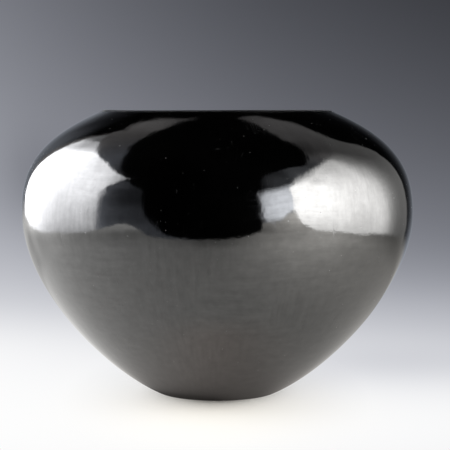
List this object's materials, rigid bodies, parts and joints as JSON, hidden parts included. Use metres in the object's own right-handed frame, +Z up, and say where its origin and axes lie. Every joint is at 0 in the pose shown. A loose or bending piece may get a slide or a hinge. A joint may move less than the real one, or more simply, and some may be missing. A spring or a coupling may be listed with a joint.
{
  "type": "pottery bowl",
  "caption": "Round-bodied burnished blackware bowl with a broad high shoulder, a wide in-curved mouth with a plain lip, and a small flat foot.",
  "frame": {"origin": "centre of the bowl's foot, on the surface that it stands on", "axes": "+Z up along the bowl's axis of turning; X and Y are any two directions square to it, since the bowl is round"},
  "size_m": [0.22, 0.22, 0.1595],
  "materials": {
    "smoked_clay": "matte, smoke-blackened fired clay, scraped and wiped smooth inside, bare on the standing ring",
    "burnished_slip": "jet-black slip, stone-burnished to a mirror-like gloss with faint polishing strokes and fine pits",
    "foot_burnish": "jet-black slip, burnished to a soft satin gloss"
  },
  "bodies": {
    "root": {"clay_body": "smoked_clay", "outer_slip": "burnished_slip", "foot_slip": "foot_burnish"}
  },
  "joints": []
}
